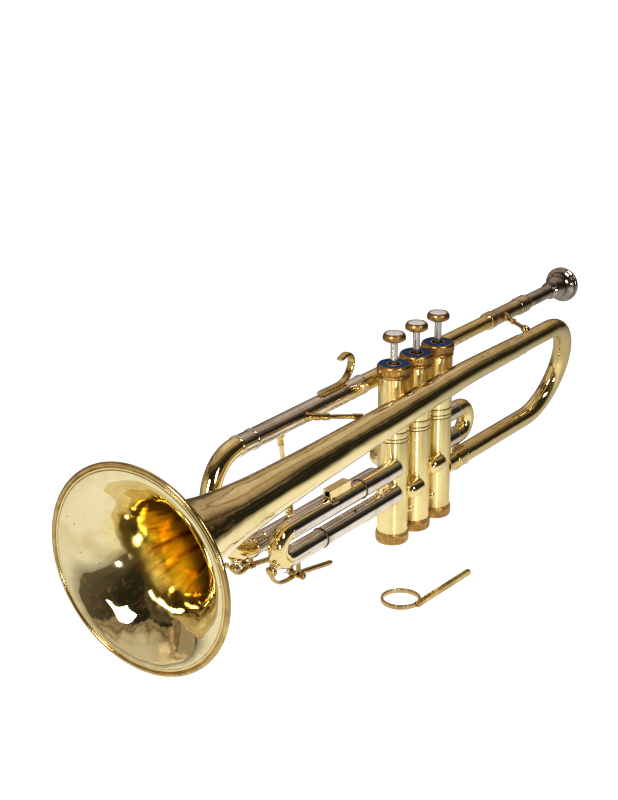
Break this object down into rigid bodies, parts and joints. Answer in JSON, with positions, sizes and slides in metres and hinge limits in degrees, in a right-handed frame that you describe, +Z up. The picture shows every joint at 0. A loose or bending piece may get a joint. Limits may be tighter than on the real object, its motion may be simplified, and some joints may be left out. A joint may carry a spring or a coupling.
{
  "type": "trumpet",
  "caption": "Three-valve trumpet standing on its valve caps, with flared bell, pull-out tuning and valve slides, water keys, mouthpiece and a loose finger ring beside it.",
  "frame": {"origin": "centre of the middle valve's bottom cap face, on the surface the trumpet stands on", "axes": "+Y runs from the bell to the mouthpiece, +X is the player's left, +Z is up along the valves"},
  "size_m": [0.1238, 0.5589, 0.1567],
  "materials": {
    "gold_brass": "clear-lacquered yellow brass, worn in places",
    "aged_brass": "tarnished bare brass with polished edges",
    "nickel_silver": "polished nickel silver",
    "nickel_plate": "honed nickel plate",
    "silver_plate": "silver plate, slightly tarnished",
    "spring_steel": "bright spring wire",
    "pearl": "glossy white shell",
    "blue_pad": "glossy navy blue",
    "cork": "matt cork"
  },
  "bodies": {
    "horn": {"casing_1": "gold_brass", "casing_2": "gold_brass", "casing_3": "gold_brass", "top_caps": "aged_brass", "bottom_caps": "aged_brass", "cap_pads": "blue_pad", "valve_guides": "nickel_plate", "knuckles": "gold_brass", "casing_spacers": "gold_brass", "bell_flare": "gold_brass", "bell_stem": "gold_brass", "bell_rim_wire": "gold_brass", "bell_bow": "gold_brass", "bow_ferrules": "gold_brass", "leadpipe": "gold_brass", "mouthpiece_receiver": "nickel_silver", "finger_hook": "gold_brass", "bell_braces": "gold_brass", "slide_braces": "gold_brass", "tuning_outer_upper": "nickel_silver", "tuning_outer_lower": "nickel_silver", "third_outer_tubes": "nickel_silver", "first_outer_tubes": "nickel_silver", "second_outer_tubes": "nickel_silver"},
    "valve_1": {"piston_1": "nickel_plate", "stem_1": "silver_plate", "button_1": "aged_brass", "pearl_1": "pearl", "piston_spring_1": "spring_steel"},
    "valve_2": {"piston_2": "nickel_plate", "stem_2": "silver_plate", "button_2": "aged_brass", "pearl_2": "pearl", "piston_spring_2": "spring_steel"},
    "valve_3": {"piston_3": "nickel_plate", "stem_3": "silver_plate", "button_3": "aged_brass", "pearl_3": "pearl", "piston_spring_3": "spring_steel"},
    "tuning_slide": {"tuning_crook": "gold_brass", "tuning_ferrules": "nickel_silver", "tuning_inner_tubes": "nickel_silver", "tuning_key_spring": "spring_steel", "tuning_key_screw": "aged_brass"},
    "tuning_water_key": {"tuning_key_lever": "gold_brass", "tuning_key_cork": "cork"},
    "third_slide": {"third_crook": "gold_brass", "third_sleeves": "nickel_silver", "third_inner_tubes": "nickel_silver", "ring_socket": "gold_brass", "third_key_spring": "spring_steel", "third_key_screw": "aged_brass"},
    "third_water_key": {"third_key_lever": "gold_brass", "third_key_cork": "cork"},
    "first_slide": {"first_crook": "gold_brass", "first_inner_tubes": "nickel_silver"},
    "second_slide": {"second_crook": "gold_brass", "second_inner_tubes": "nickel_silver"},
    "mouthpiece": {"mouthpiece": "silver_plate"},
    "loose_finger_ring": {"finger_ring": "gold_brass"}
  },
  "joints": [
    {"name": "valve_1_press", "type": "slide", "parent": "horn", "child": "valve_1", "axis": [0, 0, -1], "range_m": [0, 0.014], "stiffness_N_per_m": 120, "springref_m": -0.012, "deforming": ["piston_spring_1"]},
    {"name": "valve_2_press", "type": "slide", "parent": "horn", "child": "valve_2", "axis": [0, 0, -1], "range_m": [0, 0.014], "stiffness_N_per_m": 120, "springref_m": -0.012, "deforming": ["piston_spring_2"]},
    {"name": "valve_3_press", "type": "slide", "parent": "horn", "child": "valve_3", "axis": [0, 0, -1], "range_m": [0, 0.014], "stiffness_N_per_m": 120, "springref_m": -0.012, "deforming": ["piston_spring_3"]},
    {"name": "tuning_slide_pull", "type": "slide", "parent": "horn", "child": "tuning_slide", "axis": [0, -1, 0], "range_m": [0, 0.025]},
    {"name": "tuning_water_key_press", "type": "hinge", "parent": "tuning_slide", "child": "tuning_water_key", "pos_m": [-0.00816, -0.1765, 0.0375], "axis": [0.9893, 0, 0.1461], "range_deg": [0, 11], "stiffness_Nm_per_rad": 0.05, "springref_deg": -20.05},
    {"name": "third_slide_pull", "type": "slide", "parent": "horn", "child": "third_slide", "axis": [0, -1, 0], "range_m": [0, 0.025]},
    {"name": "third_water_key_press", "type": "hinge", "parent": "third_slide", "child": "third_water_key", "pos_m": [0.0085, -0.151, 0.0262], "axis": [1, 0, 0], "range_deg": [0, 14], "stiffness_Nm_per_rad": 0.05, "springref_deg": -20.05},
    {"name": "first_slide_pull", "type": "slide", "parent": "horn", "child": "first_slide", "axis": [0, 1, 0], "range_m": [0, 0.009]},
    {"name": "second_slide_pull", "type": "slide", "parent": "horn", "child": "second_slide", "axis": [-1, 0, 0], "range_m": [0, 0.007]},
    {"name": "mouthpiece_pull", "type": "slide", "parent": "horn", "child": "mouthpiece", "axis": [0, 1, 0], "range_m": [0, 0.03]},
    {"name": "loose_ring_lift", "type": "slide", "parent": "horn", "child": "loose_finger_ring", "axis": [0, 0, 1], "range_m": [0, 0.03]}
  ]
}
